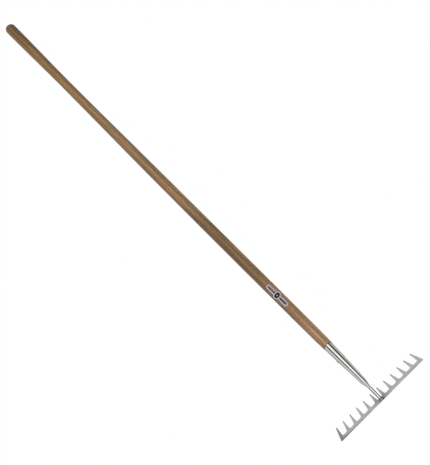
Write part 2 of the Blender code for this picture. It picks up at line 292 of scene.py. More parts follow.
def made_plain(piece):
    """Swaps the piece's mesh for the one that its modifiers make of it, and removes them."""
    bpy.context.view_layer.update()
    evaluated = piece.evaluated_get(bpy.context.evaluated_depsgraph_get())
    mesh = bpy.data.meshes.new_from_object(evaluated)
    mesh.name = piece.name
    for index in reversed(range(len(mesh.materials))):
        if mesh.materials[index] is None:
            mesh.materials.pop(index=index)
    piece.modifiers.clear()
    piece.data = mesh


def lay_down(piece, node, materials=()):
    """Lays the piece down with the tool, gives it its finish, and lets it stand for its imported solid."""
    piece.data.transform(TOOL)
    piece.data.shade_smooth()
    piece.data.set_sharp_from_angle(angle=SHARP_EDGE)
    for material in materials:
        piece.data.materials.append(material)
    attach(piece, "root")
    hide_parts(node)
    triangles = sum(len(face.vertices) - 2 for face in piece.data.polygons)
    print(piece.name, "has", triangles, "triangles")


# %% [markdown]
# The steel of the socket, its shoulder and its rivet is polished lengthways until it mirrors the studio. A
# mirror with no flaw looks like a toy, so its roughness wanders in long streaks, and a very faint bump makes
# the reflections tremble a little, as they do on rolled and polished sheet.

# %% Polished steel
POLISHING_LINES = (18.0, 2600.0, 2600.0)


def make_polished_steel():
    """Mirror-like stainless steel with fine lengthways polishing lines."""
    material, place = new_finish("mirror_steel")
    lines = cloudy(place, POLISHING_LINES, detail=4.0)
    patches = cloudy(place, (28.0, 60.0, 60.0), detail=2.0)
    colour = shades(patches, (0.36, 0.355, 0.345), (0.42, 0.415, 0.405))
    roughness = fade(lines, 0.35, 0.75, 0.07, 0.17) + patches * 0.05
    return finish_surface(material, colour, roughness, lines * 0.06 + patches, 0.00012, metallic=1.0)


polished_steel = make_polished_steel()

# %% [markdown]
# The handle is ash: pale wood with darker, open-pored bands where each year's growth began. The stem was
# sawn from a board beside the tree's middle, so its growth rings are modelled as rings round a far-off
# centre line. Cutting a solid pattern like that with a round stick gives straight lines on two sides and
# long arches on the others, and true end grain on the knob, with no picture to unwrap.

# %% Growth rings
GROWTH_RING = 0.0030
TREE_MIDDLE = (0.0, 0.058, -0.022)
RING_SWAY = (0.0, 0.012, 0.012)
RING_SLANT = (0.06, 1.0, 1.0)


def growth_rings(place):
    """The distance from the tree's middle in whole years, warped by slow noise that runs along the stem."""
    sway = cloudy(place, (1.6, 16.0, 16.0), detail=2.0, roughness=0.5, output="Color")
    moved = vector_math("MULTIPLY_ADD", sway, RING_SWAY, place)
    slanted = vector_math("MULTIPLY", vector_math("SUBTRACT", moved, TREE_MIDDLE), RING_SLANT)
    return vector_math("LENGTH", slanted) / GROWTH_RING


def top_highlight_streak(place):
    """Where the painted highlight lies: a paler streak along the upper side, between the grip and the middle.
    """
    x, y, z = split(place)
    sway = cloudy(place, (7.0, 30.0, 30.0), detail=2.0) * -0.006
    sideways = abs(y + (sway + fade(x, 1.20, 1.00, 0.0035, 0.0)))
    band = fade(sideways, 0.0070, 0.0015) * fade(z, 0.0, 0.008)
    return band * between(x, (0.62, 0.85), (1.45, 1.57))


# %% [markdown]
# A handle that has been used and stored isn't one even colour. Its lower side is darkened with painted shade,
# and that side winds a little along the stem. Its tone drifts from cool near the socket to warm at the grip.
# Near the socket a painted highlight lightens the crown, and painted shadow darkens the wood against the
# slanted edge. Each of these is a share between 0 and 1 that is worked out from the place on the stem, with
# the shade that it multiplies the wood by.

# %% Tone, wear and painted light on the wood
SOCKET_MOUTH = 0.2224
MOUTH_SLANT = 0.0340
CROWN_MIDDLE = 0.0002
LOWER_STEM = ((0.40, 0.52), (0.68, 0.84))
MIDDLE_STEM = ((0.70, 0.82), (1.02, 1.14))
GRIP_START = (1.15, 1.32)
GRIP_END = (1.44, 1.60)


def painted_shade_side(x, y, z):
    """How far a place lies towards the side that takes painted shade, which winds slowly along the stem."""
    near = fade(x, 0.28, 0.48, 0.50, 1.0) * fade(x, 0.92, 0.72)
    turn = near * 0.60 + fade(x, 1.05, 1.35, 0.15, -0.50)
    return fade(y * calculate("SINE", turn) - z * calculate("COSINE", turn), -0.0145, 0.0020)


def painted_crown_highlight(x, y):
    """Where a painted highlight lightens the crown, more and more towards the socket."""
    near = fade(x, 0.40, SOCKET_MOUTH)
    return near * near * fade(abs(y - CROWN_MIDDLE), 0.0050, 0.0005)


def painted_shadow_at_mouth(x, y, z):
    """Where painted shadow darkens the wood along the socket's slanted edge."""
    radius = calculate("SQRT", y * y + z * z)
    edge = (z / radius - 1.0) * (MOUTH_SLANT / 2) + SOCKET_MOUTH
    return fade(x - edge, 0.0034, 0.0006)


def wear_and_painted_light_on_wood(place):
    """Shares and the shades that go with them, from the slow drift of tone to the painted shadow at the
    mouth.
    """
    x, y, z = split(place)
    tone = cloudy(place, (3.2, 14.0, 14.0), detail=2.0)
    return (
        (1.0, fade(tone, 0.3, 0.7, 0.86, 1.04)),
        (1.0, fade(x, 0.26, 0.46, 1.38, 1.0)),
        (fade(x, *GRIP_START), 0.94),
        (fade(x, *GRIP_END), 0.72),
        (between(x, *MIDDLE_STEM), 1.055),
        (between(x, *LOWER_STEM), 0.89),
        # Painted light: shade on one side, a highlight on the crown, and a shadow along the socket's mouth.
        (painted_shade_side(x, y, z), 0.60),
        (painted_crown_highlight(x, y), 1.45),
        (painted_shadow_at_mouth(x, y, z), 0.45),
        (fade(x, 1.15, 1.45), (1.0, 1.0, 0.78)),
        (fade(x, 0.44, 0.28), (0.98, 1.0, 1.13)),
        (1.0, blend(fade(x, 1.02, 1.48), (0.965, 1.0, 1.0), (1.03, 1.0, 1.0))),
    )


# %% [markdown]
# The wood's colour is built up in layers, from the widest pattern to the finest: long streaks, a paler streak
# along the upper side that is a painted highlight, a slight drift of hue, the dark early wood of each ring,
# and the open pores, which are densest there. The same patterns sink the surface a little, since early wood
# wears away first.

# %% Ash wood
STREAKS = ((0.178, 0.096, 0.040), (0.285, 0.166, 0.080))
TOP_HIGHLIGHT = (0.375, 0.215, 0.118)
REDDISH = (0.250, 0.112, 0.062)
OLIVE = (0.178, 0.118, 0.042)
EARLY_WOOD = (0.118, 0.058, 0.024)
PORE = (0.05, 0.025, 0.012)


def make_ash():
    """Oiled ash with growth rings, pores, and slow changes of tone along the stem."""
    material, place = new_finish("oiled_ash")
    early = between(calculate("FRACT", growth_rings(place)), (0.0, 0.12), (0.34, 0.72))
    streaks = cloudy(place, (8.0, 170.0, 170.0))
    hue = cloudy(place, (22.0, 110.0, 110.0), detail=2.0)
    pores = fade(cloudy(place, (160.0, 2600.0, 2600.0), detail=2.0), 0.60, 0.70)
    wood = shades(streaks, *STREAKS, 0.34, 0.66)
    for share, colour in (
        # A paler streak along the upper side: a painted highlight.
        (top_highlight_streak(place) * 0.70, TOP_HIGHLIGHT),
        (fade(hue, 0.50, 0.66, 0.0, 0.45), REDDISH),
        (fade(hue, 0.48, 0.34, 0.0, 0.45), OLIVE),
        (early * 0.42, EARLY_WOOD),
        (pores * (early + 0.18), PORE),
    ):
        wood = blend(share, wood, colour)
    for share, shade in wear_and_painted_light_on_wood(place):
        wood = blend(share, wood, shade, how="MULTIPLY")
    roughness = fade(streaks, 0.3, 0.7, 0.46, 0.38)
    height = streaks * 0.5 - (early + pores)
    return finish_surface(material, wood, roughness, height, 0.00007, specular=0.25)


ash_wood = make_ash()

# %% [markdown]
# Welding leaves colours in the steel round the neck: brown at the bead, then purple, then a thin straw
# yellow, each as a band of distance whose rim is made uneven by noise. Two small spots of painted shadow lie
# beside the neck where the weld meets the plate. The cut edges take duller tints than the faces, because they
# are rougher.

# %% Heat colours and painted shadow spots
HEAT_MIDDLE = (0.0, -0.0036, 0.0)
HEAT_UNEVENNESS = 0.012
FACE_TINTS = ((0.36, 0.325, 0.29), (0.255, 0.230, 0.226), (0.190, 0.178, 0.172))
EDGE_TINTS = ((0.26, 0.26, 0.25), (0.195, 0.193, 0.186), (0.155, 0.153, 0.147))
# Two spots of painted shadow beside the neck, where the weld meets the plate.
SHADOW_SPOTS = (((-0.0012, -0.0066, 0.0062), 0.0038), ((0.0006, -0.0060, 0.0010), 0.0034))
SHADOW_SPOT_COLOUR = (0.036, 0.042, 0.038)


def with_shadow_spots(place, colour):
    """Lays two spots of painted shadow beside the neck, where the weld meets the plate, over a colour."""
    for middle, reach in SHADOW_SPOTS:
        away = vector_math("DISTANCE", place, middle)
        colour = blend(fade(away, reach, reach / 2, 0.0, 0.90), colour, SHADOW_SPOT_COLOUR)
    return colour


def heat_tinted(place, steel, tints, brown_share):
    """Lays the weld's heat colours over the steel, straw at the rim and brown inside, and the painted shadow
    spots on top.
    """
    uneven = cloudy(place, (90.0, 90.0, 90.0), detail=2.0) - 0.5
    away = vector_math("DISTANCE", place, HEAT_MIDDLE) + uneven * HEAT_UNEVENNESS
    bands = ((0.044, 0.028, 0.30), (0.030, 0.012, 0.70), (0.018, 0.006, brown_share))
    for (start, full, share), tint in zip(bands, tints):
        steel = blend(fade(away, start, full, 0.0, share), steel, tint)
    # The spots of painted shadow go on last.
    return with_shadow_spots(place, steel)


# %% [markdown]
# The head is cut from sheet steel with a satin face, whose polishing lines run along the plate. It is darker
# at one end, and painted shade darkens the tine tips and the plate near the neck. The cut edges have a finish
# of their own, because a cut leaves them darker and rougher than the face, and so has the weld: oxide over
# bright ripples.

# %% Satin plate, its cut edges, and the weld
PLATE_END = 0.166
DARKEST_LEVEL = 0.50
SHADED_MIDDLE = 0.008


def end_shade(sideways, start):
    """How bright the steel stays towards one end of the plate, which is darker."""
    return fade(sideways, start, PLATE_END, 1.0, DARKEST_LEVEL)


def painted_shade_near_neck(sideways, height):
    """How bright the steel stays near the neck: painted shade and a painted reflection of the handle above
    darken the tines there, and the bar less.
    """
    near = fade(abs(sideways - SHADED_MIDDLE), 0.036, 0.012)
    return near * fade(height, -0.012, 0.0, -0.21, -0.10) + 1.0


def make_plate_face():
    """Satin stainless sheet with fine lines along the plate."""
    material, place = new_finish("satin_sheet")
    y, z = split(place)[1:]
    lines = cloudy(place, (1800.0, 22.0, 1800.0), detail=4.0)
    steel = shades(cloudy(place, (40.0, 40.0, 40.0)), (0.385, 0.380, 0.378), (0.455, 0.450, 0.445))
    steel = blend(fade(lines, 0.40, 0.75, 0.0, 0.30), steel, 0.26)
    steel = heat_tinted(place, steel, FACE_TINTS, brown_share=0.50)
    # Painted shade darkens the tine tips and, near the neck, the tines and less the bar.
    painted_shade_at_tips = fade(z, -0.056, -0.072, 1.0, DARKEST_LEVEL)
    for level in (end_shade(y, 0.135), painted_shade_at_tips, painted_shade_near_neck(y, z)):
        steel = blend(1.0, steel, level, how="MULTIPLY")
    return finish_surface(material, steel, fade(lines, 0.3, 0.7, 0.32, 0.44), lines, 0.00003, metallic=1.0)


def make_cut_edge():
    """The plate's cut edges: darker, rougher, with the fine ridges of the cut running through the sheet."""
    material, place = new_finish("cut_edge")
    ridges = cloudy(place, (60.0, 1500.0, 1500.0), detail=2.0)
    steel = shades(cloudy(place, (60.0, 45.0, 60.0)), (0.245, 0.243, 0.240), (0.315, 0.312, 0.308))
    steel = heat_tinted(place, steel, EDGE_TINTS, brown_share=0.85)
    steel = blend(1.0, steel, end_shade(split(place)[1], 0.070), how="MULTIPLY")
    return finish_surface(material, steel, fade(ridges, 0.3, 0.7, 0.42, 0.58), ridges, 0.00005, metallic=1.0)


def make_weld_metal():
    """Weld metal: brown and purple oxide over bright ripples."""
    material, place = new_finish("weld_oxide")
    oxide = cloudy(place, (420.0, 420.0, 420.0), detail=4.0)
    # The weld takes the spots of painted shadow too.
    metal = with_shadow_spots(place, shades(oxide, (0.255, 0.226, 0.216), (0.42, 0.385, 0.374), 0.35, 0.65))
    return finish_surface(material, metal, fade(oxide, 0.3, 0.7, 0.62, 0.48), oxide, 0.00010, metallic=1.0)


plate_steel = make_plate_face()
cut_edge = make_cut_edge()
weld_metal = make_weld_metal()

# %% [markdown]
# Two pieces are drawn by Geometry Nodes. The sizes and finishes that a tree needs are its named inputs, and
# the modifier that carries the tree sets them by their identifiers before anything is evaluated. Both trees
# draw flat, so a turn then stands the piece up: the drawing's x runs across the tool, and its y is the
# height.

# %% Helpers for shape trees
SOCKET_KINDS = {int: "NodeSocketInt", float: "NodeSocketFloat", bpy.types.Material: "NodeSocketMaterial"}
STAND_UP = Matrix(((0, 0, 1, 0), (1, 0, 0, 0), (0, 1, 0, 0), (0, 0, 0, 1)))


def shape_tree(name, inputs):
    """A Geometry Nodes tree with these named inputs, and their values by the inputs' identifiers."""
    tree = bpy.data.node_groups.new(name, "GeometryNodeTree")
    values = {}
    for label, value in inputs.items():
        kind = SOCKET_KINDS[type(value)]
        values[tree.interface.new_socket(name=label, in_out="INPUT", socket_type=kind).identifier] = value
    tree.interface.new_socket(name="Geometry", in_out="OUTPUT", socket_type="NodeSocketGeometry")
    return tree, values


def grown(name, tree, values):
    """A piece that the tree draws, with the tree's inputs set to the values."""
    piece = piece_of(name, bmesh.new())
    modifier = add_modifier(piece, "NODES", node_group=tree)
    for identifier, value in values.items():
        modifier[identifier] = value
    return piece


def choose(condition, if_true, if_false):
    """One of two numbers, by a condition that is 0 or 1."""
    inputs = {"Switch": condition, "False": if_false, "True": if_true}
    return add_node(condition.tree, "GeometryNodeSwitch", inputs, input_type="FLOAT")


def painted(geometry, finish, where=True):
    """Gives a finish to the geometry, or to the part of it that is chosen."""
    inputs = {"Geometry": geometry, "Selection": where, "Material": finish}
    return add_node(geometry.tree, "GeometryNodeSetMaterial", inputs)


# %% [markdown]
# The toothed plate follows a rule: twelve like tines at one pitch, each with four corners, and a bar above
# them. The outline could be drawn by hand, but a tree can work it out from the index of each corner, so that
# a change of one size redraws every tine. The first and the last corner belong to the bar's ends, the inner
# two of each tine to its tip, and all others to the valleys between the tines.

# %% The plate's sizes and its corners
CORNERS_PER_TINE = 4
PLATE_INPUTS = {
    "Tines": 12,
    "Pitch": 0.0291,
    "Root Width": 0.0117,
    "Tip Width": 0.0034,
    "Tine Length": 0.0660,
    "Bar Depth": 0.0140,
    "Overhang": 0.0066,
    "Valley Radius": 0.0058,
    "Tip Radius": 0.0009,
    "Corner Radius": 0.0010,
    "Thickness": PLATE_THICKNESS,
    "Face": plate_steel,
    "Cut Edge": cut_edge,
}


def plate_corners(tree, given):
    """Where each corner of the outline lies and how far it is rounded, from the corner's index alone."""
    index = add_node(tree, "GeometryNodeInputIndex")
    tine = calculate("FLOOR", index / CORNERS_PER_TINE)
    from_middle = calculate("MODULO", index, CORNERS_PER_TINE) - 1.5
    at_root = calculate("GREATER_THAN", abs(from_middle), 1.0)
    half_count = given["Tines"] * (CORNERS_PER_TINE / 2)
    at_end = calculate("GREATER_THAN", abs(index + 0.5 - half_count), half_count - 1.0)
    centre = (tine - (given["Tines"] - 1.0) * 0.5) * given["Pitch"]
    half_width = choose(at_root, given["Root Width"], given["Tip Width"]) * 0.5
    reach = choose(at_end, given["Overhang"], half_width)
    half_bar = given["Bar Depth"] * 0.5
    low = choose(at_root, half_bar, half_bar + given["Tine Length"]) * -1.0
    rounding = choose(at_root, given["Valley Radius"], given["Tip Radius"])
    rounding = choose(at_end, given["Corner Radius"], rounding)
    place = {"X": calculate("SIGN", from_middle) * reach + centre, "Y": choose(at_end, half_bar, low)}
    return add_node(tree, "ShaderNodeCombineXYZ", place), rounding


# %% [markdown]
# The tree bends a line of points into that outline, rounds the corners with Fillet Curve, fills the loop and
# pushes the sheet through. All of it takes the satin finish, and then the pushed sides the cut-edge one. A
# small Bevel eases the edges, as tumbling does to the real plate. The sheet lies behind the neck's foot, so
# it is mirrored as it is stood up, and its faces are turned outwards again.

# %% Make the toothed plate
FILLET_POINTS = 9
TOUCHING = 1e-6
EDGE_EASE = 0.0004


def build_plate_tree():
    """The tree that makes the toothed plate, and the values of its inputs."""
    tree, values = shape_tree("toothed_plate", PLATE_INPUTS)
    given = add_node(tree, "NodeGroupInput")
    place, rounding = plate_corners(tree, given)
    count = given["Tines"] * CORNERS_PER_TINE
    line = add_node(tree, "GeometryNodeCurvePrimitiveLine")
    points = add_node(tree, "GeometryNodeResampleCurve", {"Curve": line, "Count": count})
    corners = add_node(tree, "GeometryNodeSetPosition", {"Geometry": points, "Position": place})
    loop = add_node(tree, "GeometryNodeSetSplineCyclic", {"Geometry": corners, "Cyclic": True})
    fillet = {"Curve": loop, "Count": FILLET_POINTS, "Radius": rounding, "Limit Radius": True}
    rounded = add_node(tree, "GeometryNodeFilletCurve", fillet, mode="POLY")
    sheet = add_node(tree, "GeometryNodeFillCurve", {"Curve": rounded}, mode="NGONS")
    through = add_node(tree, "ShaderNodeCombineXYZ", {"Z": given["Thickness"]})
    push = {"Mesh": sheet, "Offset": through, "Individual": False}
    pushed = add_node(tree, "GeometryNodeExtrudeMesh", push)
    back = add_node(tree, "GeometryNodeFlipFaces", {"Mesh": sheet})
    joined = add_node(tree, "GeometryNodeJoinGeometry")
    for part in (back, pushed):
        feed(joined.socket.node, {0: part})
    merged = add_node(tree, "GeometryNodeMergeByDistance", {"Geometry": joined, "Distance": TOUCHING})
    real = add_node(tree, "GeometryNodeRealizeInstances", {"Geometry": merged})
    faced = painted(real, given["Face"])
    add_node(tree, "NodeGroupOutput", {0: painted(faced, given["Cut Edge"], pushed["Side"])})
    return tree, values


def make_toothed_plate():
    """The rake's head: twelve tines under a bar, with eased edges."""
    plate = grown("toothed_plate", *build_plate_tree())
    ease_edges(plate, EDGE_EASE, 60)
    made_plain(plate)
    plate.data.transform(Matrix.Scale(-1, 4, (1, 0, 0)) @ STAND_UP)
    plate.data.flip_normals()
    lay_down(plate, "rake_head")
    print("its finishes are", [material.name for material in plate.data.materials])


make_toothed_plate()

# %% [markdown]
# The neck is a round bar that runs from the plate into the socket. It is one turned outline, with a chamfer
# where it hides inside the socket. It could be a plain cylinder, but the turned outline also gives it a foot
# that meets the weld. The bar is brushed, not polished. A painted highlight runs along its crown and painted
# shade lies on its flanks, so its colour grows darker with the distance from the tool's middle plane.

# %% Neck
FIT = 0.0003
NECK_RADIUS = 0.0047
NECK_EXPOSED = 0.0465
NECK_INSERTION = 0.0200
NECK_END_CHAMFER = 0.0010
SHOULDER_LENGTH = 0.0265
SOCKET_START = NECK_EXPOSED + SHOULDER_LENGTH
NECK_ROWS = 12
FINE_STEPS = 96


def make_brushed_bar():
    """Brushed steel with a painted highlight along the crown, painted shade on both flanks, and browned at
    the weld.
    """
    material, place = new_finish("brushed_bar")
    x, y = split(place)[:2]
    lines = cloudy(place, POLISHING_LINES, detail=4.0)
    # A painted highlight on the crown and painted shade on the flanks: the colour darkens with the distance
    # from the middle plane.
    painted_flank_shade = fade(abs(y), NECK_RADIUS * 0.22, NECK_RADIUS * 0.65)
    steel = blend(painted_flank_shade, (0.62, 0.615, 0.605), (0.082, 0.081, 0.079))
    steel = blend(fade(x, 0.0090, 0.0045, 0.0, 0.75), steel, (0.21, 0.188, 0.182))
    return finish_surface(material, steel, fade(lines, 0.35, 0.75, 0.22, 0.34), lines, 0.00001, metallic=1.0)


def make_neck():
    """The bar between the plate and the socket."""
    end = SOCKET_START + NECK_INSERTION
    straight = end - NECK_END_CHAMFER
    outline = [(FIT, NECK_RADIUS - FIT), (2 * FIT, NECK_RADIUS)]
    outline += [(FIT + straight * share, NECK_RADIUS) for share in shares(NECK_ROWS)]
    outline.append((end, NECK_RADIUS - NECK_END_CHAMFER))
    neck = turned("round_neck", outline, FINE_STEPS)
    lay_down(neck, "neck", [make_brushed_bar()])


make_neck()

# %% [markdown]
# The weld at the plate is laid round the neck in short pushes of the torch, and each push leaves one scale
# over the last. Geometry Nodes lay such scales along an oval path, drawn out along the bar, and turn each to
# follow it. A voxel remesh then melts them into one bead with a rippled skin, which separate scales would
# never be.

# %% Head weld
WELD_LEG = 0.0016
WELD_VOXEL = 0.00022
SCALE_MIDDLE = 0.42
SCALE_WIDTH = 0.72
SCALE_SIZES = (0.90, 1.08)
SCALE_SEED = 7
WELD_INPUTS = {
    "Pushes": 26,
    "Path Radius": NECK_RADIUS + WELD_LEG * SCALE_MIDDLE,
    "Spread": 1.25,
    "Leg": WELD_LEG,
    "Height": 0.0034,
    "Metal": weld_metal,
}


def build_weld_tree():
    """A tree that sets a scale of weld metal at each push along an oval path round the neck."""
    tree, values = shape_tree("weld_ripples", WELD_INPUTS)
    given = add_node(tree, "NodeGroupInput")
    path = {"Resolution": given["Pushes"], "Radius": given["Path Radius"]}
    circle = add_node(tree, "GeometryNodeCurvePrimitiveCircle", path)
    drawn_out = add_node(tree, "ShaderNodeCombineXYZ", {"X": given["Spread"], "Y": 1.0, "Z": 1.0})
    oval = add_node(tree, "GeometryNodeTransform", {"Geometry": circle, "Scale": drawn_out})
    scale_shape = add_node(tree, "GeometryNodeMeshIcoSphere", {"Radius": 1.0, "Subdivisions": 3})
    tangent = add_node(tree, "GeometryNodeInputTangent")
    facing = add_node(tree, "FunctionNodeAlignRotationToVector", {"Vector": tangent}, axis="X")
    draw = {2: SCALE_SIZES[0], 3: SCALE_SIZES[1], "Seed": SCALE_SEED}
    jitter = add_node(tree, "FunctionNodeRandomValue", draw, data_type="FLOAT")[1]
    sides = {"X": given["Leg"] * SCALE_WIDTH, "Y": given["Leg"] * jitter, "Z": given["Height"] * jitter}
    size = add_node(tree, "ShaderNodeCombineXYZ", sides)
    placing = {"Points": oval, "Instance": scale_shape, "Rotation": facing, "Scale": size}
    scales = add_node(tree, "GeometryNodeInstanceOnPoints", placing)
    real = add_node(tree, "GeometryNodeRealizeInstances", {"Geometry": scales})
    add_node(tree, "NodeGroupOutput", {0: painted(real, given["Metal"])})
    return tree, values


def make_head_weld():
    """The bead round the neck's foot, melted from its scales and trimmed flat where it meets the plate."""
    bead = grown("head_weld_bead", *build_weld_tree())
    add_modifier(bead, "REMESH", mode="VOXEL", voxel_size=WELD_VOXEL)
    made_plain(bead)
    bead.data.transform(STAND_UP)
    bead.data.materials.clear()
    bm = bmesh.new()
    bm.from_mesh(bead.data)
    everything = bm.verts[:] + bm.edges[:] + bm.faces[:]
    bmesh.ops.bisect_plane(bm, geom=everything, plane_co=(FIT, 0, 0), plane_no=(-1, 0, 0), clear_outer=True)
    bmesh.ops.contextual_create(bm, geom=[edge for edge in bm.edges if edge.is_boundary])
    bmesh.ops.recalc_face_normals(bm, faces=bm.faces)
    bm.to_mesh(bead.data)
    bm.free()
    lay_down(bead, "head_weld", [weld_metal])


make_head_weld()

# %% [markdown]
# The socket's narrow end is welded shut on the neck, and the weld is ground into a smooth shoulder that runs
# out on the bar. One turned outline makes it: a slow S curve outside, and a root that reaches into the
# socket.

# %% Ground shoulder
SHOULDER_FULLNESS = 0.95
SHOULDER_FEATHER = 0.0003
SHOULDER_ROOT = 0.0040
SHOULDER_ROWS = 28
SOCKET_NARROW_RADIUS = 0.0098
SOCKET_WALL = 0.0020


def make_shoulder():
    """The shoulder between the socket and the neck."""
    bore = NECK_RADIUS + FIT / 2
    foot = NECK_RADIUS + SHOULDER_FEATHER
    root = SOCKET_NARROW_RADIUS - SOCKET_WALL - FIT
    root_end = SOCKET_START + SHOULDER_ROOT
    outline = [(NECK_EXPOSED, bore)]
    for share in shares(SHOULDER_ROWS, first=0):
        rise = (1 + math.cos(math.pi * (1 - share) ** SHOULDER_FULLNESS)) / 2
        radius = foot + (SOCKET_NARROW_RADIUS - foot) * rise
        outline.append((NECK_EXPOSED + SHOULDER_LENGTH * share, radius))
    outline += [(SOCKET_START, root), (root_end, root), (root_end, bore)]
    shoulder = turned("ground_shoulder", outline, FINE_STEPS, closed_tube=True)
    lay_down(shoulder, "socket_weld", [polished_steel])


make_shoulder()

# %% [markdown]
# The socket starts as a flat blank with a rounded tongue. Rolled into a cone it leaves a seam underneath
# that opens towards the mouth. The mesh is made the same way: a flat grid stands for the blank, each of its
# points is laid round the cone, and Solidify gives the sheet its wall. A Bevel breaks the sheet's edges, and
# a Boolean drills it for the rivet.

# %% Rolled socket
SOCKET_LENGTH = SOCKET_MOUTH - SOCKET_START
SOCKET_MOUTH_RADIUS = 0.01555
SOCKET_WIDENING = SOCKET_MOUTH_RADIUS - SOCKET_NARROW_RADIUS
SOCKET_BELLY = 0.0006
SEAM_GAP_AT_MOUTH = 0.0070
SEAM_GAP_AT_NECK = 0.0020
BLANK_CORNER_RADIUS = 0.0050
SHEET_EDGE_EASE = 0.00035
RIVET_RADIUS = 0.0025
RIVET_FROM_MOUTH = 0.0612
RIVET_X = SOCKET_MOUTH - RIVET_FROM_MOUTH
ACROSS_AT_RIVET = Matrix.Translation((RIVET_X, 0, 0)) @ Matrix.Rotation(math.pi / 2, 4, "Z")
DRILL_REACH = 0.03
DRILL_STEPS = 48
SOCKET_COLUMNS = 150
SOCKET_ROWS = 24


def socket_share(x):
    """How far x lies along the socket: 0 at the narrow end, 1 at the tip of the mouth."""
    return (x - SOCKET_START) / SOCKET_LENGTH


def socket_radius(x):
    """Outer radius of the socket at x: a cone whose sides are very slightly bellied."""
    share = socket_share(x)
    return SOCKET_NARROW_RADIUS + SOCKET_WIDENING * share + 4 * SOCKET_BELLY * share * (1 - share)


def mouth_edge(angle):
    """Place of the socket's slanted mouth at an angle from the top."""
    return SOCKET_MOUTH - MOUTH_SLANT / 2 * (1 - math.cos(angle))


def fallen_back(to_end, radius):
    """How far a corner of this radius falls back from a straight edge, at a distance from the edge's end."""
    inward = max(radius - to_end, 0.0)
    return radius - math.sqrt(radius**2 - inward**2)


def seam_angle(x):
    """Angle from the top of the socket to the seam's edge at x."""
    gap = SEAM_GAP_AT_NECK + (SEAM_GAP_AT_MOUTH - SEAM_GAP_AT_NECK) * socket_share(x)
    return math.pi - math.asin(gap / 2 / socket_radius(x))


def rolled(sideways, lengthways):
    """A point of the flat blank laid round the cone: sideways from -1 to 1, lengthways from 0 to 1."""
    mouth_angle = sideways * seam_angle(mouth_edge(sideways * math.pi))
    to_seam = (1 - abs(sideways)) * seam_angle(SOCKET_MOUTH) * SOCKET_MOUTH_RADIUS
    edge = mouth_edge(mouth_angle) - fallen_back(to_seam, BLANK_CORNER_RADIUS)
    x = SOCKET_START + (edge - SOCKET_START) * lengthways
    return round_point(x, socket_radius(x), sideways * seam_angle(x))


def drilled(piece):
    """Drills a hole through the piece for the rivet, a little wider than it."""
    radius = RIVET_RADIUS + FIT
    drill = turned("rivet_drill", [(-DRILL_REACH, radius), (DRILL_REACH, radius)], DRILL_STEPS)
    drill.data.transform(ACROSS_AT_RIVET)
    add_modifier(piece, "BOOLEAN", solver="EXACT", object=drill)
    made_plain(piece)
    bpy.data.objects.remove(drill)


def make_socket():
    """The rolled, open socket."""
    bm = bmesh.new()
    bmesh.ops.create_grid(bm, x_segments=SOCKET_COLUMNS, y_segments=SOCKET_ROWS, size=1.0)
    for vert in bm.verts:
        vert.co = rolled(math.sin(vert.co.x * math.pi / 2), (vert.co.y + 1) / 2)
    bmesh.ops.recalc_face_normals(bm, faces=bm.faces)
    top_face = max(bm.faces, key=lambda face: face.calc_center_median().z)
    if top_face.normal.z < 0:
        bmesh.ops.reverse_faces(bm, faces=bm.faces)
    socket = piece_of("rolled_socket", bm)
    add_modifier(socket, "SOLIDIFY", thickness=SOCKET_WALL, offset=-1.0, use_even_offset=True)
    ease_edges(socket, SHEET_EDGE_EASE, 50)
    drilled(socket)
    lay_down(socket, "socket", [polished_steel])


make_socket()

# %% [markdown]
# One rivet crosses the socket and the wood inside it. Its outline is turned once, from the top of its domed
# head to the tail that was hammered nearly flat, and the turned piece is then laid across the tool.

# %% Rivet
RIVET_HEAD = (0.0010, 0.00475)
RIVET_TAIL = (0.0003, 0.0038)
DOME_STEPS = 12
RIVET_STEPS = 64


def rivet_end(height, reach):
    """Outline of one end of the rivet, from the top of its dome to the shank."""
    seat = socket_radius(RIVET_X + reach) + FIT / 3
    turns = [math.pi / 2 * share for share in shares(DOME_STEPS)]
    dome = [(seat + height * math.cos(turn), reach * math.sin(turn)) for turn in turns]
    return dome + [(seat, RIVET_RADIUS)]


def make_rivet():
    """The cross rivet: a domed head on one side, and a nearly flat tail on the other."""
    tail = [(-x, radius) for x, radius in reversed(rivet_end(*RIVET_TAIL))]
    rivet = turned("cross_rivet", rivet_end(*RIVET_HEAD) + tail, RIVET_STEPS)
    rivet.data.transform(ACROSS_AT_RIVET)
    lay_down(rivet, "socket_rivet", [polished_steel])


make_rivet()

# %% [markdown]
# The handle is turned, so its outline is a few stretches with smooth joins, as the turner's template would
# be. Each is given by its length and by the diameter that it ends in. Inside the socket the handle thins to
# a tenon. The step between the two follows the socket's slanted mouth, which no lathe outline can do, so the
# rings near the mouth are slanted too.

# %% Handle outline
STRETCHES = (
    ("shoulder", 0.0246, 0.0331),
    ("body", 0.3530, 0.0340),
    ("swell", 0.2960, 0.0331),
    ("taper", 0.4440, 0.0282),
    ("grip", 0.2370, 0.0328),
)
WOOD_PROUD = 0.0001
TENON_END = SOCKET_START + 0.0300
MOUTH_SLOPE = (SOCKET_WIDENING - 4 * SOCKET_BELLY) / SOCKET_LENGTH


def handle_stations():
    """(x, radius) where the outline turns, from the socket's mouth to the widest part of the knob."""
    stations = [(SOCKET_MOUTH, socket_radius(SOCKET_MOUTH) + WOOD_PROUD)]
    for name, length, diameter in STRETCHES:
        stations.append((stations[-1][0] + length, diameter / 2))
        print("the", name, "ends", round(stations[-1][0], 4), "m from the head")
    return stations


def station_slopes(stations):
    """A slope at each station, level where the outline turns back, so the curve never overshoots."""
    chords = [(r1 - r0) / (x1 - x0) for (x0, r0), (x1, r1) in zip(stations, stations[1:])]
    slopes = [MOUTH_SLOPE]
    for before, after in zip(chords, chords[1:]):
        slopes.append(0.0 if before * after <= 0 else 2 * before * after / (before + after))
    return slopes + [0.0]


STATIONS = handle_stations()
SLOPES = station_slopes(STATIONS)


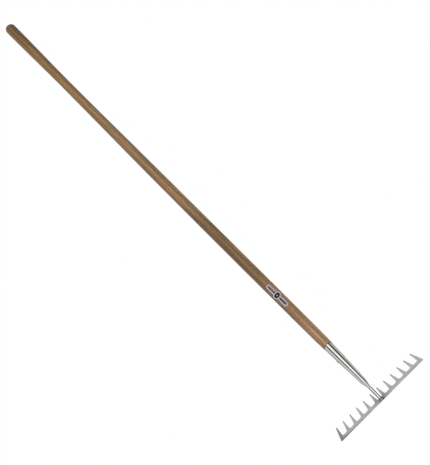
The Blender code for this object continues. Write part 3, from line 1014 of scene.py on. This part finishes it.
def handle_radius(x):
    """Outer radius of the handle at x: the cone beside the mouth, then a curve through the stations."""
    if x <= SOCKET_MOUTH:
        return socket_radius(x) + WOOD_PROUD
    for index, (start, end) in enumerate(zip(STATIONS, STATIONS[1:])):
        if x <= end[0]:
            span = end[0] - start[0]
            t = (x - start[0]) / span
            lift = start[1] * (2 * t**3 - 3 * t**2 + 1) + end[1] * (3 * t**2 - 2 * t**3)
            return lift + span * (SLOPES[index] * (t**3 - 2 * t**2 + t) + SLOPES[index + 1] * (t**3 - t**2))
    return STATIONS[-1][1]


# %% [markdown]
# With the outline known, the rings are listed from the tenon's end to the knob's dome: rings inside the
# socket, a rounded step at the mouth, rings that ease from the slant to square ones, then one ring every few
# millimetres. A very slight waviness keeps the long highlight from looking like a plastic tube. A stick of
# wood never dries quite straight, so the finished mesh is bent by a millimetre or so.

# %% Make the handle
TENON_CHAMFER = 0.0008
TENON_FIRST_RING = 0.01
TENON_ROWS = 24
STEP_EASE = 0.0005
STEP_ROWS = 4
SHOULDER_RINGS = 16
RING_SPACING = 0.0045
KNOB_STRAIGHT = 0.0060
KNOB_DOME_LENGTH = 0.0130
KNOB_ROWS = 18
TURNING_WAVE = 0.00009
WAVES_ALONG = 16.0
WAVES_ROUND = 0.9
BOW = 0.0014


def tenon_radius(x):
    """Radius of the tenon, which fills the cone."""
    return socket_radius(x) - SOCKET_WALL - FIT


def wavy(x, angle):
    """The handle's radius with the slight unevenness that turning and sanding leave."""
    round_stem = (math.cos(angle) * WAVES_ROUND, math.sin(angle) * WAVES_ROUND)
    return handle_radius(x) + TURNING_WAVE * noise.noise(Vector((x * WAVES_ALONG, *round_stem)))


def tenon_ring(share):
    """A ring of the tenon, from its end at 0 to the slanted step at 1."""
    def ring(angle):
        x = TENON_END + (mouth_edge(angle) + FIT - TENON_END) * share
        return x, tenon_radius(x)
    return ring


def step_ring(turn):
    """A ring on the rounded outer edge of the step at the mouth."""
    def ring(angle):
        x = mouth_edge(angle) + FIT + STEP_EASE * (1 - math.cos(turn))
        return x, wavy(x, angle) - STEP_EASE * (1 - math.sin(turn))
    return ring


def easing_ring(share):
    """A ring between the slanted step and the square ring at the shoulder's end."""
    def ring(angle):
        start = mouth_edge(angle) + FIT + STEP_EASE
        x = start + (STATIONS[1][0] - start) * share
        return x, wavy(x, angle)
    return ring


def square_rings(start, end):
    """Square rings every few millimetres, from after the start up to the end."""
    count = round((end - start) / RING_SPACING)
    places = [start + (end - start) * share for share in shares(count)]
    return [lambda angle, x=x: (x, wavy(x, angle)) for x in places]


def bowed(piece):
    """Bends the piece sideways as a dried stick bends: most half way up the handle, nothing at its ends."""
    length = STATIONS[-1][0] - SOCKET_MOUTH
    for vert in piece.data.vertices:
        share = min(max((vert.co.x - SOCKET_MOUTH) / length, 0.0), 1.0)
        vert.co.y += BOW * math.sin(math.pi * share)


def make_handle():
    """The turned handle with its tenon."""
    knob_x, knob_radius = STATIONS[-1]
    dome_start = knob_x + KNOB_STRAIGHT
    rings = [flat_ring(TENON_END, tenon_radius(TENON_END) - TENON_CHAMFER)]
    for share in shares(TENON_ROWS, first=0):
        rings.append(tenon_ring(TENON_FIRST_RING + (1 - TENON_FIRST_RING) * share))
    rings += [step_ring(math.pi / 2 * share) for share in shares(STEP_ROWS, first=0)]
    rings += [easing_ring(share) for share in shares(SHOULDER_RINGS)]
    rings += square_rings(STATIONS[1][0], knob_x) + square_rings(knob_x, dome_start)
    for share in shares(KNOB_ROWS)[:-1]:
        turn = math.pi / 2 * share
        rings.append(flat_ring(dome_start + KNOB_DOME_LENGTH * math.sin(turn), knob_radius * math.cos(turn)))
    handle = skin_rings("ash_handle", rings, FINE_STEPS)
    drilled(handle)
    bowed(handle)
    lay_down(handle, "handle", [ash_wood])


make_handle()

# %% [markdown]
# A thin pale label is wrapped on the handle: two arms and an oval between them. It carries no words: a plain
# dark panel fills each arm and a plain ring marks the oval, which is all that the eye reads from a step
# away. The mesh is a grid laid on the wood, and its UV map holds real distances, so that shapes can be
# placed in metres.

# %% Label shape
LABEL_LENGTH = 0.0825
LABEL_ARM_WIDTH = 0.0136
LABEL_ARM_CORNER = 0.0050
LABEL_OVAL_LENGTH = 0.0195
LABEL_OVAL_WIDTH = 0.0255
LABEL_THICKNESS = 0.0003
LABEL_FROM_MOUTH = 0.2008
LABEL_X = SOCKET_MOUTH + LABEL_FROM_MOUTH
LABEL_COLUMNS = 168
LABEL_ROWS = 16


def label_half_width(offset):
    """Half the label's width at a distance from its middle: two arms with rounded ends, and an oval."""
    arm = LABEL_ARM_WIDTH / 2 - fallen_back(LABEL_LENGTH / 2 - abs(offset), LABEL_ARM_CORNER)
    share = min(abs(offset) / (LABEL_OVAL_LENGTH / 2), 1.0)
    return max(arm, LABEL_OVAL_WIDTH / 2 * math.sqrt(1 - share**2))


# %% [markdown]
# The label's finish reads those distances. A panel lies where the distance from the label's middle line and
# from its middle are both within set sizes, and the ring is where an ellipse's formula nears one. Printed
# paper is never even, so slow noise wears the panel and mottles the pale ground. Its varnish has gone dull.

# %% Label finish and mesh
PANEL_START = 0.0092
PANEL_END = 0.0375
PANEL_HALF_WIDTH = 0.0035
PANEL_SOFT = 0.0012
RING_SIZE = (0.0070, 0.0097)
RING_INNER_RIM = (0.16, 0.30)
RING_OUTER_RIM = (0.94, 1.04)


def make_label_paper():
    """Pale paper under dull varnish, with a worn slate panel on each arm and a dark oval ring."""
    material, surface = new_finish("varnished_paper")
    place = add_node(surface.tree, "ShaderNodeUVMap", uv_map="label_metres")
    lengthways, sideways = [abs(part) for part in split(place)[:2]]
    across_panel = fade(sideways, *rim(PANEL_HALF_WIDTH, PANEL_SOFT), 1.0, 0.0)
    along_panel = between(lengthways, rim(PANEL_START, PANEL_SOFT), rim(PANEL_END, PANEL_SOFT))
    squashed = vector_math("MULTIPLY", place, (1 / RING_SIZE[0], 1 / RING_SIZE[1], 0.0))
    ring = between(vector_math("LENGTH", squashed), RING_INNER_RIM, RING_OUTER_RIM)
    mottle = cloudy(surface, (500.0, 500.0, 500.0))
    wear = cloudy(surface, (260.0, 260.0, 260.0))
    paper = shades(mottle, (0.395, 0.358, 0.386), (0.485, 0.445, 0.478))
    slate = shades(wear, (0.016, 0.020, 0.026), (0.100, 0.106, 0.112), 0.42, 0.60)
    paper = blend(across_panel * along_panel * 0.95, paper, slate)
    paper = blend(ring * 0.99, paper, (0.004, 0.005, 0.008))
    return finish_surface(material, paper, fade(mottle, 0.3, 0.7, 0.46, 0.58), mottle, 0.00002, specular=0.06)


def make_label():
    """The blank label, wrapped on the top of the handle."""
    bm = bmesh.new()
    bmesh.ops.create_grid(bm, x_segments=LABEL_COLUMNS, y_segments=LABEL_ROWS, size=1.0)
    metres = bm.loops.layers.uv.new("label_metres")
    for face in bm.faces:
        for loop in face.loops:
            offset = loop.vert.co.x * LABEL_LENGTH / 2
            loop[metres].uv = (offset, loop.vert.co.y * label_half_width(offset))
    for vert in bm.verts:
        offset = vert.co.x * LABEL_LENGTH / 2
        radius = handle_radius(LABEL_X + offset) + TURNING_WAVE
        angle = vert.co.y * label_half_width(offset) / radius
        vert.co = round_point(LABEL_X + offset, radius, angle)
    label = piece_of("blank_label", bm)
    add_modifier(label, "SOLIDIFY", thickness=LABEL_THICKNESS, offset=1.0)
    made_plain(label)
    bowed(label)
    lay_down(label, "handle_label", [make_label_paper()])


make_label()

# %% [markdown]
# The picture was taken from above the middle of the tool. The camera's place and lens were worked out from
# the tines, whose tips and roots show how steeply the camera looked at the head. They are written here in
# metres and millimetres, like any other size.

# %% Camera
CAMERA_PLACE = (-0.1460, 0.00287, 1.37917)
CAMERA_TURN = (0.020491, 0.016218, -2.356484)
CAMERA_LENS = 34.381
CAMERA_SENSOR = 36.0


def make_camera():
    """The photograph's view: almost straight down, the handle running from corner to corner."""
    camera = bpy.data.objects.new("camera", bpy.data.cameras.new("camera"))
    camera.location = CAMERA_PLACE
    camera.rotation_euler = CAMERA_TURN
    camera.data.lens = CAMERA_LENS
    camera.data.sensor_width = CAMERA_SENSOR
    bpy.context.scene.collection.objects.link(camera)
    bpy.context.scene.camera = camera


make_camera()

# %% [markdown]
# Mirror steel shows whatever stands round it, so the studio matters as much as the metal. Here it is a tent
# of pale cloth with a long bright window overhead, parallel to the tool, and a dark gap on each side of the
# window. The world draws it by direction: the angle round the tool's axis says which strip a ray meets. The
# camera itself sees plain white.

# %% Studio
WINDOW = (-17.0, 9.5)
LEFT_GAP = (-70.0, -34.0)
RIGHT_GAP = (18.0, 43.0)
WINDOW_LIGHT = 2.6
CLOTH_LIGHT = 1.42
GAP_LIGHT = 0.10
SOFT_RIM = 4.0
WHITE = (1.0, 1.0, 1.0, 1.0)


def strip(angle, edges):
    """1 between two angles in degrees, with soft rims."""
    return between(angle, *(rim(edge, SOFT_RIM / 2) for edge in edges))


def make_studio():
    """A white tent with an overhead window and two dark gaps, seen by every ray but the camera's."""
    world = bpy.data.worlds.new("studio")
    bpy.context.scene.world = world
    world.use_nodes = True
    tree = world.node_tree
    tree.nodes.clear()
    y, z = split(add_node(tree, "ShaderNodeTexCoord")["Generated"])[1:]
    degrees = calculate("ARCTAN2", y, z) * math.degrees(1)
    gaps = calculate("MAXIMUM", strip(degrees, LEFT_GAP), strip(degrees, RIGHT_GAP))
    light = gaps * (GAP_LIGHT - CLOTH_LIGHT) + CLOTH_LIGHT
    light = strip(degrees, WINDOW) * (WINDOW_LIGHT - CLOTH_LIGHT) + light
    tent = add_node(tree, "ShaderNodeBackground", {"Color": WHITE, "Strength": light})
    plain = add_node(tree, "ShaderNodeBackground", {"Color": WHITE, "Strength": 1.0})
    seen = add_node(tree, "ShaderNodeLightPath")["Is Camera Ray"]
    mixed = add_node(tree, "ShaderNodeMixShader", {0: seen, 1: tent, 2: plain})
    add_node(tree, "ShaderNodeOutputWorld", {0: mixed})
    print("the studio's window spans", WINDOW[1] - WINDOW[0], "degrees")


make_studio()

# %% [markdown]
# The floor is a wide pale sheet. Plain white cloth under this light would come out a little grey, so for the
# camera and for reflections most of it glows at exactly white, and the rest is lit cloth that keeps the
# rake's soft shadow.

# %% Floor
FLOOR_REACH = 30.0
FLOOR_GLOW = 0.985
CLOTH = {"Base Color": (0.86, 0.86, 0.86, 1.0), "Roughness": 1.0, "Specular IOR Level": 0.0}


def make_floor():
    """The pale floor that the rake lies on."""
    bm = bmesh.new()
    bmesh.ops.create_grid(bm, x_segments=1, y_segments=1, size=FLOOR_REACH)
    floor = piece_of("floor", bm)
    material = bpy.data.materials.new("floor_cloth")
    material.use_nodes = True
    tree = material.node_tree
    cloth = tree.nodes["Principled BSDF"]
    feed(cloth, CLOTH)
    ray = add_node(tree, "ShaderNodeLightPath")
    mirrored = calculate("MAXIMUM", ray["Is Glossy Ray"], ray["Is Transmission Ray"])
    seen = calculate("MAXIMUM", ray["Is Camera Ray"], mirrored)
    glow = add_node(tree, "ShaderNodeEmission", {"Color": WHITE, "Strength": 1.0})
    shaders = {0: seen * FLOOR_GLOW, 1: Wire(cloth.outputs[0]), 2: glow}
    feed(tree.nodes["Material Output"], {"Surface": add_node(tree, "ShaderNodeMixShader", shaders)})
    floor.data.materials.append(material)


make_floor()

# %% [markdown]
# The standard view keeps colours as they are written.

# %% Finish
bpy.context.scene.view_settings.view_transform = "Standard"
